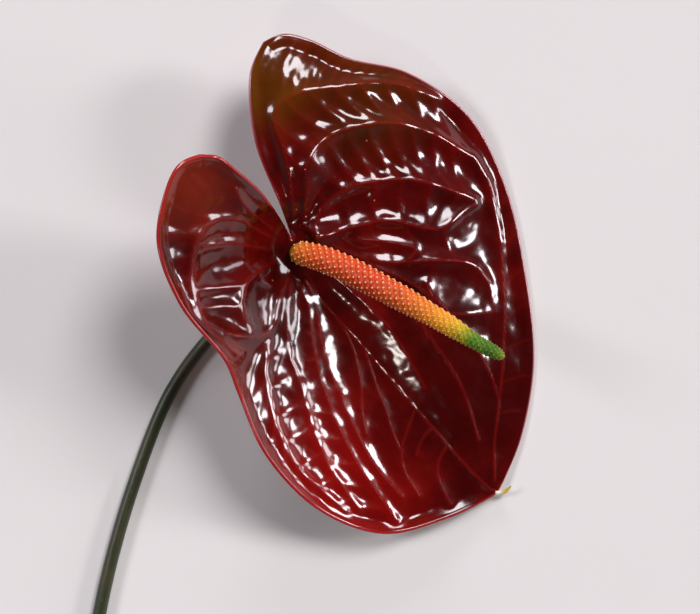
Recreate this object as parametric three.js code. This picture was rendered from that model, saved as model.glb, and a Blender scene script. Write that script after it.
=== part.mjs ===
// A cut anthurium flower, lying down: a lacquered heart-shaped spathe, its spadix and its stem.
//
// Units are millimetres with +Z up. The surface that the flower lies on is z = 0, and the origin
// is the middle of its footprint. Everything is drawn around the attachment, the point where
// stem, spathe and spadix meet, and the finished group is then moved onto the surface.
// The spathe has axes of its own: `along` runs from the attachment to the tip, `across` runs to
// the low right-hand lobe, and `lift` is the height above the attachment.

import * as THREE from 'three';
import { mergeVertices } from 'three/addons/utils/BufferGeometryUtils.js';

// Driving sizes.
const SPATHE_LENGTH = 180;       // crown of the right lobe to the tip, measured along
const SPATHE_WIDTH = 135;        // left edge to right edge, measured across
const SPATHE_THICKNESS = 1;
const SPATHE_TURN = -50;         // degrees from +X to the spathe's tip
const ATTACHMENT_LIFT = 20;      // attachment above the lowest part of the rim
const SPADIX_LENGTH = 92;
const SPADIX_DIAMETER = 10;      // at its thickest, a third of the way up
const STEM_LENGTH = 325;
const STEM_DIAMETER = 5;         // half way along
const SEAT_RADIUS = 6.4;         // flat ring of the spathe around the attachment
const SEAT_CLEARANCE = 0.3;      // between the spathe and what meets it on either side

// The sizes that the outline points below are drawn at. The points stretch with the sizes above.
const DRAWN_LENGTH = 180;
const DRAWN_WIDTH = 135;
const DRAWN_LIFT = 20;

// Outline of each half as [along, across, lift], from the notch behind the attachment, up the
// edge of the sinus, over the crown of the lobe and down the rim to the tip.
const NOTCH = [-3.5, 1, 0];
const TIP = [116.5, -1, -17];
const CROWN_RIGHT = [-63.5, 38, 9];
const CROWN_LEFT = [-43, -4, 42];
const RIGHT_SINUS = [NOTCH, [-14, 5, 5], [-38, 13, 10.5], [-57.5, 27, 11.5], CROWN_RIGHT];
const RIGHT_RIM = [
  CROWN_RIGHT, [-61, 46, 8], [-53.5, 52, 6.5], [-40, 58.5, 4], [-23, 72, -3], [3, 80, -13],
  [31, 74.5, -18.5], [60, 60, -19.5], [88, 41, -20], [106, 20, -19.5], [114, 5, -18.5], TIP,
];
const LEFT_SINUS = [NOTCH, [-11, 2.5, 7], [-22, 3.5, 22], [-31, 2, 32], [-39, 0, 39], CROWN_LEFT];
const LEFT_RIM = [
  CROWN_LEFT, [-45, -11, 45.5], [-43, -17.5, 47], [-30, -34, 46], [-9, -42.5, 38],
  [16, -44, 26], [27, -48, 20.5], [49.5, -55, 15], [78, -54, 3], [100.5, -42, -8],
  [111.5, -21, -14], [115.5, -7.5, -17], TIP,
];
const MIDRIB = [
  NOTCH, [9, -2.8, -1.6], [21, -4.9, -3.8], [41, -4.5, -7], [72, -4.2, -12], [112, -2.6, -16.5], TIP,
];

// How each half is spanned between its inner edge (sinus, then midrib) and its rim.
const RIGHT_NOTCH_SHARE = 0.36;  // share of the rim that faces the sinus edge, by length
const LEFT_NOTCH_SHARE = 0.34;
const RIGHT_BELLY = 0.1;         // rise of the surface between the two, as a share of the span
const LEFT_BELLY = -0.03;
const SINUS_STEPS = 15;
const MIDRIB_STEPS = 27;
const SPAN_STEPS = 10;
const SEAT_BLEND = 12;           // distance over which the seat eases into the blade

// Route of the spadix as [x, y, lift] from the attachment, stretched to SPADIX_LENGTH.
const SPADIX_ROUTE = [
  [1.6, -2, 0], [1.6, -2, 3], [5, -2.6, 7], [14, -5.8, 12.5], [33, -15.8, 22], [49.5, -25.2, 30.5],
  [62, -33, 37.5], [71, -38, 42],
];
const SPADIX_PROFILE = [         // [share of the length, share of the greatest diameter]
  [0, 0.8], [0.05, 0.9], [0.15, 0.96], [0.33, 1], [0.5, 0.94], [0.7, 0.78], [0.9, 0.6], [1, 0.52],
];
const SPADIX_STEPS = 30;
const SPADIX_SIDES = 14;

// Route of the stem from under the spathe to its free end as [x, y, height]. The height runs
// from 0 on the resting surface to 1 at the attachment. The last stretch is straight.
const STEM_ROUTE = [
  [0, 0, 1], [0, 0, 0.86], [-3.5, -4, 0.62], [-13, -14, 0.36], [-23.5, -24.5, 0.11],
  [-34.5, -35, 0], [-47.5, -54, 0], [-60, -85.5, 0], [-69, -116, 0], [-74.5, -142, 0],
];
const STEM_FREE_DIRECTION = [-0.165, -0.986, 0];
const STEM_TAPER = 0.16;         // loss of diameter from cut end to neck, as a share
const STEM_FLARE = 1.35;         // width of the neck where it meets the spathe, as a share
const FLARE_LENGTH = 7;
const STEM_STEPS = 44;
const STEM_SIDES = 12;

const COLOURS = { spathe: 0x5a0c0a, spadix: 0xe8793a, stem: 0x3d4a22 };

function curveThrough(points) {
  return new THREE.CatmullRomCurve3(points, false, 'centripetal');
}

// A drawn outline point at the spathe's real size.
function spathePoint([along, across, lift]) {
  return new THREE.Vector3(
    along * SPATHE_LENGTH / DRAWN_LENGTH,
    across * SPATHE_WIDTH / DRAWN_WIDTH,
    lift * ATTACHMENT_LIFT / DRAWN_LIFT,
  );
}

function spatheCurve(points) {
  return curveThrough(points.map(spathePoint));
}

// The blade is level around the attachment, so that stem and spadix can sit square on it.
function levelSeat(point) {
  const radius = Math.hypot(point.x, point.y);
  point.z *= THREE.MathUtils.smoothstep(radius, SEAT_RADIUS, SEAT_RADIUS + SEAT_BLEND);
  return point;
}

// A point of the span from `inner` to `outer`, raised at right angles to the span.
function spanPoint(inner, outer, share, belly) {
  const span = outer.clone().sub(inner);
  const length = span.length();
  const point = inner.clone().addScaledVector(span, share);
  if (length === 0) return point;
  span.divideScalar(length);
  const raised = new THREE.Vector3(0, 0, 1).addScaledVector(span, -span.z).normalize();
  return point.addScaledVector(raised, 4 * share * (1 - share) * belly * length);
}

// Shares from 0 to 1 that stand closer together at both ends, where the outline turns most.
function easedShare(share) {
  const held = THREE.MathUtils.clamp(share, 0, 1);
  return (held + THREE.MathUtils.smoothstep(held, 0, 1)) / 2;
}

// One half of the blade as rows of points. A row runs from the inner edge to the rim, and the
// rows go from the crown of the lobe, past the notch, to the tip.
function halfRows(sinusPoints, rimPoints, notchShare, belly) {
  const sinus = spatheCurve(sinusPoints);
  const midrib = spatheCurve(MIDRIB);
  const rim = spatheCurve(rimPoints);
  const rows = [];
  for (let step = 0; step <= SINUS_STEPS + MIDRIB_STEPS; step += 1) {
    const toNotch = easedShare(step / SINUS_STEPS);
    const toTip = easedShare((step - SINUS_STEPS) / MIDRIB_STEPS);
    const inner = toNotch < 1 ? sinus.getPointAt(1 - toNotch) : midrib.getPointAt(toTip);
    const outer = rim.getPointAt(THREE.MathUtils.lerp(notchShare * toNotch, 1, toTip));
    const row = [];
    for (let column = 0; column <= SPAN_STEPS; column += 1) {
      row.push(levelSeat(spanPoint(inner, outer, column / SPAN_STEPS, belly)));
    }
    rows.push(row);
  }
  return rows;
}

// Triangles of a grid of points, facing up on the right half and, when flipped, on the left.
function gridTriangles(rows, flipped) {
  const corners = [];
  for (let row = 0; row + 1 < rows.length; row += 1) {
    for (let column = 0; column + 1 < rows[row].length; column += 1) {
      const a = rows[row][column];
      const b = rows[row][column + 1];
      const c = rows[row + 1][column + 1];
      const d = rows[row + 1][column];
      corners.push(...(flipped ? [a, b, c, a, c, d] : [a, c, b, a, d, c]));
    }
  }
  return corners;
}

function indexedSurface(corners) {
  const loose = new THREE.BufferGeometry().setFromPoints(corners);
  const surface = mergeVertices(loose, 1e-3);
  const kept = [];
  const index = surface.getIndex().array;
  for (let corner = 0; corner < index.length; corner += 3) {
    const [a, b, c] = index.slice(corner, corner + 3);
    if (a !== b && b !== c && c !== a) kept.push(a, b, c);
  }
  surface.setIndex(kept);
  surface.computeVertexNormals();
  return surface;
}

// Edges that belong to one triangle only, in that triangle's direction.
function openEdges(index) {
  const edges = new Map();
  for (let corner = 0; corner < index.length; corner += 3) {
    for (let side = 0; side < 3; side += 1) {
      const from = index[corner + side];
      const to = index[corner + (side + 1) % 3];
      if (edges.has(`${to} ${from}`)) edges.delete(`${to} ${from}`);
      else edges.set(`${from} ${to}`, [from, to]);
    }
  }
  return [...edges.values()];
}

// A closed sheet: the surface, a copy of it `thickness` below, and a wall around the edge.
function thickened(surface, thickness) {
  const positions = surface.getAttribute('position');
  const normals = surface.getAttribute('normal');
  const points = [];
  for (const depth of [0, -thickness]) {
    for (let vertex = 0; vertex < positions.count; vertex += 1) {
      const normal = new THREE.Vector3().fromBufferAttribute(normals, vertex);
      const point = new THREE.Vector3().fromBufferAttribute(positions, vertex);
      points.push(point.addScaledVector(normal, depth));
    }
  }
  const front = [...surface.getIndex().array];
  const below = positions.count;
  const triangles = [...front];
  for (let corner = 0; corner < front.length; corner += 3) {
    triangles.push(front[corner] + below, front[corner + 2] + below, front[corner + 1] + below);
  }
  for (const [from, to] of openEdges(front)) {
    triangles.push(to, from, from + below, to, from + below, to + below);
  }
  const sheet = new THREE.BufferGeometry().setFromPoints(points);
  sheet.setIndex(triangles);
  return sheet;
}

function spatheGeometry() {
  const right = halfRows(RIGHT_SINUS, RIGHT_RIM, RIGHT_NOTCH_SHARE, RIGHT_BELLY);
  const left = halfRows(LEFT_SINUS, LEFT_RIM, LEFT_NOTCH_SHARE, LEFT_BELLY);
  const corners = [...gridTriangles(right, false), ...gridTriangles(left, true)];
  return thickened(indexedSurface(corners), SPATHE_THICKNESS);
}

// A closed round body along a path. `radiusAt` takes a share of the path from 0 to 1, and
// `shares` lists where the rings stand.
function roundBody(path, radiusAt, shares, sideCount) {
  const points = [];
  const triangles = [];
  const across = new THREE.Vector3(0, 1, 0);
  shares.forEach((share, ring) => {
    const centre = path.getPointAt(share);
    const tangent = path.getTangentAt(share);
    across.addScaledVector(tangent, -across.dot(tangent)).normalize();
    const upright = tangent.clone().cross(across);
    for (let side = 0; side < sideCount; side += 1) {
      const angle = 2 * Math.PI * side / sideCount;
      const point = centre.clone().addScaledVector(across, radiusAt(share) * Math.cos(angle));
      points.push(point.addScaledVector(upright, radiusAt(share) * Math.sin(angle)));
      if (ring === 0) continue;
      const here = ring * sideCount + side;
      const next = ring * sideCount + (side + 1) % sideCount;
      triangles.push(here - sideCount, next - sideCount, next);
      triangles.push(here - sideCount, next, here);
    }
  });
  const last = (shares.length - 1) * sideCount;
  for (let side = 1; side + 1 < sideCount; side += 1) {
    triangles.push(0, side + 1, side, last, last + side, last + side + 1);
  }
  const body = new THREE.BufferGeometry().setFromPoints(points);
  body.setIndex(triangles);
  return body;
}

// Straight-line interpolation in a list of [share, value] pairs, eased at each pair.
function profileAt(profile, share) {
  const next = Math.max(1, profile.findIndex(([at]) => at >= share));
  const [from, fromValue] = profile[next - 1];
  const [to, toValue] = profile[next];
  return THREE.MathUtils.lerp(fromValue, toValue, THREE.MathUtils.smoothstep(share, from, to));
}

function spadixGeometry() {
  const drawn = SPADIX_ROUTE.map((point) => new THREE.Vector3(...point));
  const stretch = SPADIX_LENGTH / curveThrough(drawn).getLength();
  const seat = new THREE.Vector3(0, 0, SEAT_CLEARANCE);
  const path = curveThrough(drawn.map((point) => point.multiplyScalar(stretch).add(seat)));
  const endRadius = SPADIX_DIAMETER / 2 * profileAt(SPADIX_PROFILE, 1);
  const radiusAt = (share) => {
    const radius = SPADIX_DIAMETER / 2 * profileAt(SPADIX_PROFILE, share);
    const fromEnd = Math.min(1, (1 - share) * SPADIX_LENGTH / endRadius);
    return Math.max(0.4, radius * Math.sqrt(1 - (1 - fromEnd) ** 2));
  };
  const shares = [];
  for (let step = 0; step <= SPADIX_STEPS; step += 1) {
    shares.push((1 - Math.cos(Math.PI * step / SPADIX_STEPS)) / 2);
  }
  return roundBody(path, radiusAt, shares, SPADIX_SIDES);
}

// The stem lies on the surface at height `floor` and climbs to the back of the spathe.
function stemGeometry(floor) {
  const lying = floor + STEM_DIAMETER / 2 * (1 + STEM_TAPER / 2);
  const top = -SPATHE_THICKNESS - SEAT_CLEARANCE;
  const route = STEM_ROUTE.map(
    ([x, y, height]) => new THREE.Vector3(x, y, THREE.MathUtils.lerp(lying, top, height)),
  );
  const rest = STEM_LENGTH - curveThrough(route).getLength();
  const free = new THREE.Vector3(...STEM_FREE_DIRECTION);
  const turn = route.at(-1);
  route.push(turn.clone().addScaledVector(free, rest / 2));
  route.push(turn.clone().addScaledVector(free, rest));
  const path = curveThrough(route);
  const radiusAt = (share) => {
    const taper = 1 + STEM_TAPER * (share - 0.5);
    const fromTop = THREE.MathUtils.smoothstep(share * STEM_LENGTH, 0, FLARE_LENGTH);
    return STEM_DIAMETER / 2 * taper * THREE.MathUtils.lerp(STEM_FLARE, 1, fromTop);
  };
  const shares = [];
  for (let step = 0; step <= STEM_STEPS; step += 1) {
    shares.push(1 - Math.cos(Math.PI / 2 * step / STEM_STEPS));
  }
  return roundBody(path, radiusAt, shares, STEM_SIDES);
}

function namedMesh(name, geometry, finish) {
  geometry.computeVertexNormals();
  const material = new THREE.MeshStandardMaterial({ color: COLOURS[name], ...finish });
  const mesh = new THREE.Mesh(geometry, material);
  mesh.name = name;
  return mesh;
}

const spathe = namedMesh('spathe', spatheGeometry(), { roughness: 0.18, metalness: 0 });
spathe.rotation.z = THREE.MathUtils.degToRad(SPATHE_TURN);
const floor = new THREE.Box3().setFromObject(spathe, true).min.z;

const flower = new THREE.Group();
flower.add(spathe);
flower.add(namedMesh('spadix', spadixGeometry(), { roughness: 0.45, metalness: 0 }));
flower.add(namedMesh('stem', stemGeometry(floor), { roughness: 0.5, metalness: 0 }));

const footprint = new THREE.Box3().setFromObject(flower, true);
const middle = footprint.getCenter(new THREE.Vector3());
flower.position.set(-middle.x, -middle.y, -footprint.min.z);

export default flower;
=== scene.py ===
"""A cut anthurium lying on a pale floor: lacquered spathe, beaded spadix and smooth stem."""

import math

import bmesh
import bpy
import numpy as np
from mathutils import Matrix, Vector, noise
from mathutils.kdtree import KDTree


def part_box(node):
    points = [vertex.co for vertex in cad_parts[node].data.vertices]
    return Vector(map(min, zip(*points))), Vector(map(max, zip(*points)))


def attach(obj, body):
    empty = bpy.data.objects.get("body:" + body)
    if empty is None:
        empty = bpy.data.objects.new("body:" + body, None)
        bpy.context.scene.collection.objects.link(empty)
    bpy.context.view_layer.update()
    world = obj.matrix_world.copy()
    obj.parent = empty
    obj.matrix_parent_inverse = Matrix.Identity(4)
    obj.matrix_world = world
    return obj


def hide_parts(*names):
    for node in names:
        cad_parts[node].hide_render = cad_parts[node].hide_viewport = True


bl_info = {
    "name": "Cut Anthurium",
    "version": (1, 0, 0),
    "blender": (4, 5, 0),
    "location": "View3D > Sidebar > Anthurium",
    "description": "Makes the spathe, spadix and stem of a cut anthurium around its solid model",
    "category": "Object",
}

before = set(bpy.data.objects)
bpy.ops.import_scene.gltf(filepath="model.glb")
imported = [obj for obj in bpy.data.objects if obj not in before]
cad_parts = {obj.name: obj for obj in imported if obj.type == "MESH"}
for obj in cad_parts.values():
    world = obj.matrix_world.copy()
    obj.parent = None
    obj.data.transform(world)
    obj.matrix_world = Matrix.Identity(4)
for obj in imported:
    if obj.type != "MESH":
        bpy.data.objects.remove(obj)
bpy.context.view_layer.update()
BODY = "root"
MM = 0.001

# The spathe is drawn around the attachment, where stem, spathe and spadix meet, in millimetres:
# along to the tip, across to the low right-hand lobe, and lift above the attachment.
SPATHE_TURN = math.radians(-50)
NOTCH = (-3.5, 1, 0)
TIP = (116.5, -1, -17)
CROWN_RIGHT = (-63.5, 38, 9)
CROWN_LEFT = (-43, -4, 42)
RIGHT_SINUS = [NOTCH, (-14, 5, 5), (-38, 13, 10.5), (-57.5, 27, 11.5), CROWN_RIGHT]
RIGHT_RIM = [
    CROWN_RIGHT, (-61, 46, 8), (-53.5, 52, 6.5), (-40, 58.5, 4), (-23, 72, -3), (3, 80, -13),
    (31, 74.5, -18.5), (60, 60, -19.5), (88, 41, -20), (106, 20, -19.5), (114, 5, -18.5), TIP,
]
LEFT_SINUS = [NOTCH, (-11, 2.5, 7), (-22, 3.5, 22), (-31, 2, 32), (-39, 0, 39), CROWN_LEFT]
LEFT_RIM = [
    CROWN_LEFT, (-45, -11, 45.5), (-43, -17.5, 47), (-30, -34, 46), (-9, -42.5, 38),
    (16, -44, 26), (27, -48, 20.5), (49.5, -55, 15), (78, -54, 3), (100.5, -42, -8),
    (111.5, -21, -14), (115.5, -7.5, -17), TIP,
]
MIDRIB = [
    NOTCH, (9, -2.8, -1.6), (21, -4.9, -3.8), (41, -4.5, -7), (72, -4.2, -12),
    (112, -2.6, -16.5), TIP,
]
RIGHT_NOTCH_SHARE = 0.36  # share of the rim that faces the sinus edge, by length
LEFT_NOTCH_SHARE = 0.34
RIGHT_BELLY = 0.1  # rise of the surface between its edges, as a share of the span
LEFT_BELLY = -0.03
SEAT_RADIUS = 6.4  # the blade is flat within this radius of the attachment
SEAT_BLEND = 12  # distance over which the seat eases into the blade
SEAT_CLEARANCE = 0.3  # lift of the spadix off the seat

# Routes of the round parts, [x, y, lift] from the attachment in millimetres.
SPADIX_ROUTE = [
    (1.6, -2, 0), (1.6, -2, 3), (5, -2.6, 7), (14, -5.8, 12.5), (33, -15.8, 22),
    (49.5, -25.2, 30.5), (62, -33, 37.5), (71, -38, 42),
]
STEM_ROUTE = [
    (0, 0, 1), (0, 0, 0.86), (-3.5, -4, 0.62), (-13, -14, 0.36), (-23.5, -24.5, 0.11),
    (-34.5, -35, 0), (-47.5, -54, 0), (-60, -85.5, 0), (-69, -116, 0), (-74.5, -142, 0),
]
STEM_FREE_DIRECTION = (-0.165, -0.986)

# Main veins as (along, across). They stand up as fine crests with dished cells between them.
VEINS = {
    "outer_arch": [
        (-3, 2.5), (-17, 12), (-29, 19), (-39, 23), (-42, 28), (-40, 38), (-33, 50), (-24, 64),
        (-9, 75),
    ],
    "upper_arch": [(-4, 6.5), (-13, 16), (-21, 23), (-22, 36), (-13, 54), (-3, 63), (16, 71.5)],
    "middle_arch": [(-1, 8), (-5, 17), (-4, 28), (5, 44.5), (13, 52), (28.5, 62)],
    "lower_arch": [(2, 9), (9, 23.5), (14, 32), (28, 44.5), (29, 55), (30, 61.5)],
    "spadix_arch": [(9, 11), (18, 16), (28, 25.5), (36, 36), (46, 46), (56, 47), (63, 43)],
    "eye": [(12, 19), (20, 27), (28, 32.5), (29, 27), (22, 19.5)],
    "low_arch": [(40, 28), (50, 25), (59, 33), (65, 42)],
    "right_collector": [
        (16, 71.5), (28, 69.5), (41, 63), (54, 55), (67, 45), (78, 35), (91, 22), (101, 11),
        (112, 1),
    ],
    "beside_midrib": [(14, 4), (25, 5.5), (36, 7), (46, 7), (57, 5.5), (69, 3)],
    "first_flank": [(16, 12), (38, 17), (62, 16), (80, 13), (97, 6)],
    "second_flank": [(18, 15), (40, 25), (62, 28), (79, 26), (91, 22)],
    "left_eye": [(0, -5.5), (-2, -14), (-2, -22), (5, -29), (16, -31)],
    "left_eye_back": [(2, -6), (6, -9), (10, -16), (17, -25), (16, -31)],
    "left_arch": [
        (-3, -2), (-12, -6), (-19, -9), (-23.5, -15.5), (-23, -22), (-19, -28.5), (-13, -34),
        (-7, -37.5), (2, -40.5), (17, -39),
    ],
    "left_middle": [(-2, -4), (-9, -11), (-15, -16.5), (-19, -24)],
    "left_fold": [(-4, -1), (-14, -3), (-22, -4), (-27, -3)],
    "left_rung_high": [(-1.5, -23), (-5, -28), (-9.5, -35)],
    "left_rung_middle": [(4, -28.5), (0, -33), (-4, -38)],
    "left_rung_low": [(15, -32), (8, -37.5), (2, -40)],
    "first_blade": [
        (11, -5), (19, -7), (28, -12.5), (37, -17), (55, -23), (68, -27), (81, -29), (94, -29),
    ],
    "second_blade": [(11, -7.5), (17, -9), (29, -16.5), (42, -23.5), (68, -32), (99, -36)],
    "third_blade": [(9, -10), (18, -19), (29, -26), (43, -31.5), (58, -38), (72, -42), (87, -43)],
    "outer_blade": [(20, -28), (27, -35.5), (36, -41), (50, -47), (64, -49.5), (84, -47)],
    "midrib_branch_1": [(34, -5.5), (43, -8.5), (53, -14), (60, -19.5), (68, -24)],
    "midrib_branch_2": [(45, -5), (57, -10), (66, -13), (73, -16), (81, -18.5)],
    "midrib_branch_3": [(73, -5), (77, -12), (81, -18), (87, -22), (98, -24)],
    "midrib_branch_4": [(82, -5), (83, -10), (86, -15)],
    "midrib_branch_5": [(91, -5), (93, -10), (97, -14), (108, -17)],
}
RUNG_SWAY = 0.06  # sideways bow of a cross vein, as a share of its length
# Cross veins, like rungs, between two curves: (curve, from share, to share) twice, and a count.
LADDERS = [
    (("outer_arch", 0.45, 0.98), ("right_rim", 0.06, 0.31), 13),
    (("upper_arch", 0.22, 0.97), ("outer_arch", 0.3, 0.98), 9),
    (("middle_arch", 0.18, 0.95), ("upper_arch", 0.2, 0.9), 9),
    (("lower_arch", 0.2, 0.8), ("middle_arch", 0.3, 0.9), 5),
    (("spadix_arch", 0.3, 0.65), ("lower_arch", 0.3, 0.75), 3),
    (("right_collector", 0.05, 0.8), ("right_rim", 0.38, 0.86), 9),
    (("left_arch", 0.3, 0.98), ("left_rim", 0.1, 0.44), 8),
    (("outer_blade", 0.05, 0.95), ("left_rim", 0.48, 0.75), 8),
    (("third_blade", 0.25, 0.95), ("outer_blade", 0.1, 0.95), 7),
    (("second_blade", 0.3, 0.95), ("third_blade", 0.3, 0.98), 7),
]


def tone(code):
    """A linear colour from the usual six-digit code."""
    channels = [(code >> shift & 255) / 255 for shift in (16, 8, 0)]
    return tuple(c / 12.92 if c <= 0.04045 else ((c + 0.055) / 1.055) ** 2.4 for c in channels)


def length_setting(name, description, millimetres):
    """A length that a user can change, with its default given in millimetres."""
    return bpy.props.FloatProperty(
        name=name, description=description, default=millimetres * MM, unit="LENGTH")


def colour_setting(name, description, code):
    """A colour that a user can change, with its default given as a six-digit code."""
    return bpy.props.FloatVectorProperty(
        name=name, description=description, subtype="COLOR", default=tone(code))


class AnthuriumSpatheSettings(bpy.types.PropertyGroup):
    """Sizes and colours of the spathe."""

    thickness: length_setting("Thickness", "Thickness of the spathe", 0.9)
    rim_bead: length_setting("Rim bead", "Swelling of the rim", 0.28)
    cell_depth: length_setting("Cell depth", "Depth of the dished cells between main veins", 2.2)
    cell_reach: length_setting(
        "Cell reach", "How far a main vein holds up the film around it", 3.6)
    rung_depth: length_setting("Rung depth", "Depth of the dips between cross veins", 0.55)
    rung_reach: length_setting(
        "Rung reach", "How far a cross vein holds up the film around it", 1.8)
    rib_height: length_setting("Rib height", "Height of the midrib on the back", 1.3)
    wrinkle: length_setting("Wrinkle", "Height of the small waves all over the blade", 0.13)
    wine: colour_setting("Wine", "Main colour of the face", 0x5C0805)
    # Also painted as shade, in the dished cells and on the right half of the face.
    deep_and_shade: colour_setting("Deep", "Darkest colour of the face", 0x380303)
    # Painted light: this red lightens the lower left half of the face.
    bright: colour_setting("Bright", "Brightest red of the face", 0x880A06)
    olive: colour_setting("Olive", "Blush at the crown of the right lobe", 0x623506)
    ember: colour_setting("Ember", "Blush of the left lobe", 0x842206)
    vein: colour_setting("Vein", "Colour of the veins", 0x841410)
    rim: colour_setting("Rim", "Colour of the rim", 0xB0282A)
    back: colour_setting("Back", "Colour of the back", 0x7A2A20)


class AnthuriumSpadixSettings(bpy.types.PropertyGroup):
    """Sizes and colours of the spadix."""

    length: length_setting("Length", "Length along the spadix", 92)
    diameter: length_setting("Diameter", "Greatest diameter without the beads", 9)
    flower_count: bpy.props.IntProperty(
        name="Flowers", description="Number of small flowers", default=600)
    flower_size: length_setting("Flower size", "Width of a small flower", 2.25)
    seed: bpy.props.IntProperty(name="Seed", description="Seed of the small variations", default=7)
    bead: colour_setting("Bead", "Colour of the beads", 0xFFC488)


class AnthuriumStemSettings(bpy.types.PropertyGroup):
    """Sizes and colours of the stem."""

    length: length_setting("Length", "Length along the stem", 325)
    diameter: length_setting("Diameter", "Diameter half way along", 5)
    taper: bpy.props.FloatProperty(
        name="Taper", description="Loss of diameter towards the flower", default=0.16)
    skin: colour_setting("Skin", "Colour of the skin", 0x1A240A)
    flesh: colour_setting("Flesh", "Colour of the cut end", 0xC9CF9A)


class AnthuriumStageSettings(bpy.types.PropertyGroup):
    """Floor, lights and camera."""

    floor: colour_setting("Floor", "Colour of the floor", 0xDEDCD8)
    lens: bpy.props.FloatProperty(
        name="Lens", description="Focal length in millimetres", default=100)
    height: bpy.props.FloatProperty(
        name="Height", description="Camera height above the attachment", default=0.7,
        unit="LENGTH")
    brightness: bpy.props.FloatProperty(
        name="Brightness", description="Factor on every studio light", default=1.0)


# ---------------------------------------------------------------- curves and meshes


LENGTH_SAMPLES = 400
PLAN_SAMPLES = 4  # points on a plan curve for each millimetre
MERGE_DISTANCE = 1e-6  # metres


def curve_points(points, shares, dense=48):
    """Points on a smooth curve through `points`, at shares of its length from 0 to 1."""
    knots = np.asarray(points, float)
    padded = np.vstack([2 * knots[0] - knots[1], knots, 2 * knots[-1] - knots[-2]])
    steps = np.sqrt(np.linalg.norm(np.diff(padded, axis=0), axis=1))
    runs = []
    for start in range(len(knots) - 1):
        p0, p1, p2, p3 = padded[start:start + 4]
        d0, d1, d2 = steps[start:start + 3]
        out_tangent = ((p1 - p0) / d0 - (p2 - p0) / (d0 + d1) + (p2 - p1) / d1) * d1
        in_tangent = ((p2 - p1) / d1 - (p3 - p1) / (d1 + d2) + (p3 - p2) / d2) * d1
        t = np.linspace(0, 1, dense, endpoint=False)[:, None]
        runs.append(
            (2 * t**3 - 3 * t**2 + 1) * p1 + (t**3 - 2 * t**2 + t) * out_tangent
            + (3 * t**2 - 2 * t**3) * p2 + (t**3 - t**2) * in_tangent
        )
    path = np.vstack(runs + [knots[-1:]])
    travelled = np.concatenate([[0], np.cumsum(np.linalg.norm(np.diff(path, axis=0), axis=1))])
    wanted = np.asarray(shares, float) * travelled[-1]
    return np.column_stack([np.interp(wanted, travelled, path[:, axis]) for axis in range(3)])


def curve_length(points):
    """Length of the smooth curve through points."""
    path = curve_points(points, np.linspace(0, 1, LENGTH_SAMPLES))
    return float(np.linalg.norm(np.diff(path, axis=0), axis=1).sum())


def smoothstep(value, low, high):
    """Eased step from 0 at `low` to 1 at `high`."""
    t = np.clip((np.asarray(value, float) - low) / (high - low), 0, 1)
    return t * t * (3 - 2 * t)


def unit(vectors):
    """Vectors of the same direction and length 1."""
    lengths = np.linalg.norm(vectors, axis=-1, keepdims=True)
    return vectors / np.maximum(lengths, 1e-12)


def new_piece(name, points, faces, attributes):
    """A smooth mesh object with its doubles merged and one float attribute for each entry."""
    mesh = bpy.data.meshes.new(name)
    mesh.from_pydata(points, [], faces)
    for key, values in attributes.items():
        values = np.asarray(values, np.float32)
        kind, field = ("FLOAT", "value") if values.ndim == 1 else ("FLOAT_VECTOR", "vector")
        mesh.attributes.new(key, kind, "POINT").data.foreach_set(field, values.ravel())
    merged = bmesh.new()
    merged.from_mesh(mesh)
    bmesh.ops.remove_doubles(merged, verts=merged.verts, dist=MERGE_DISTANCE)
    bmesh.ops.recalc_face_normals(merged, faces=merged.faces)
    for face in merged.faces:
        face.smooth = True
    merged.to_mesh(mesh)
    merged.free()
    piece = bpy.data.objects.new(name, mesh)
    bpy.context.scene.collection.objects.link(piece)
    return piece


def tube(path, radii, sides, caps=((0.0,), (0.0,))):
    """Points, faces and path share of a closed round body with rings of the given radii.

    `caps` lists the shares of the end radius at which rings close the start and the end.
    """
    tangents = unit(np.gradient(path, axis=0))
    across = np.array([0.0, 1.0, 0.0])
    rings = []
    for centre, tangent, radius in zip(path, tangents, radii):
        across = unit(across - tangent * across.dot(tangent))
        upright = np.cross(tangent, across)
        angles = np.linspace(0, 2 * math.pi, sides, endpoint=False)[:, None]
        rings.append((centre, radius * (np.cos(angles) * across + np.sin(angles) * upright)))
    shares = list(np.linspace(0, 1, len(rings)))
    start = [(rings[0][0], rings[0][1] * share) for share in caps[0]]
    end = [(rings[-1][0], rings[-1][1] * share) for share in reversed(caps[1])]
    rings = start + rings + end
    shares = [0.0] * len(start) + shares + [1.0] * len(end)
    points = np.vstack([centre + offsets for centre, offsets in rings])
    faces = []
    for ring in range(len(rings) - 1):
        for side in range(sides):
            here, following = ring * sides + side, ring * sides + (side + 1) % sides
            faces.append((here, following, following + sides, here + sides))
    return points, faces, np.repeat(shares, sides)


# ---------------------------------------------------------------- shader nodes


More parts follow.
